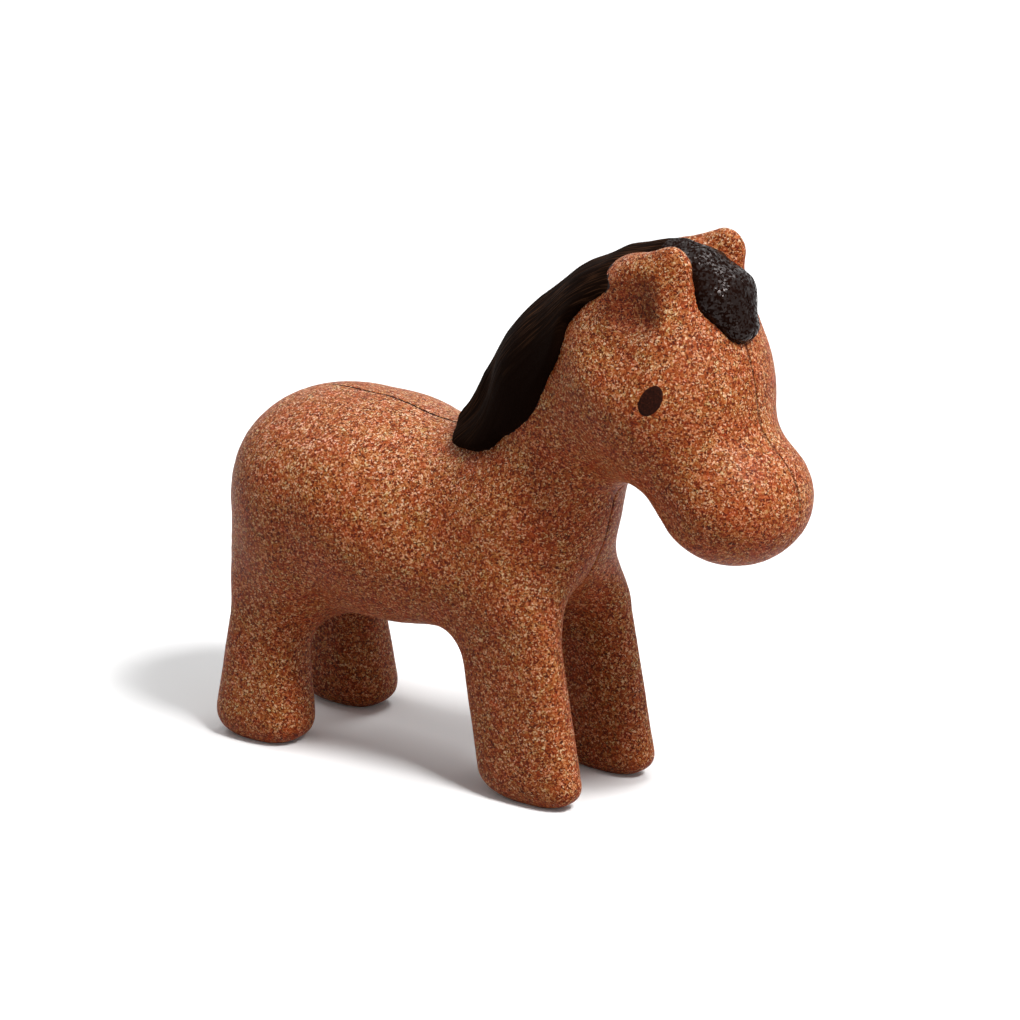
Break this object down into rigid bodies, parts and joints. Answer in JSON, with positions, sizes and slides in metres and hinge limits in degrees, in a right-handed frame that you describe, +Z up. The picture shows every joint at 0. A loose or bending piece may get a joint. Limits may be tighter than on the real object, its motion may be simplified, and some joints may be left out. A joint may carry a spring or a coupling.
{
  "type": "toy horse figure",
  "caption": "Small solid standing toy horse of pressed wood composite, joined from halves along its middle, with a low-relief painted mane, forelock and tail and dark oval eyes.",
  "frame": {"origin": "on the ground, under the middle of the figure's length and on the plane where its halves meet", "axes": "+X along the trunk towards the horse's nose, +Y towards the horse's left side, +Z up"},
  "size_m": [0.1072, 0.0386, 0.0924],
  "materials": {
    "composite": "matte, finely rough, speckled terracotta pressed wood composite, coloured through",
    "mane_paint": "the same pressed wood composite under brown-black satin paint",
    "eye_ink": "the same pressed wood composite under matte dark brown printing ink"
  },
  "bodies": {
    "root": {"body_half_right": "composite", "body_half_left": "composite", "mane_half_right": "mane_paint", "mane_half_left": "mane_paint", "tail_half_right": "mane_paint", "tail_half_left": "mane_paint", "eye_right": "eye_ink", "eye_left": "eye_ink"}
  },
  "joints": []
}
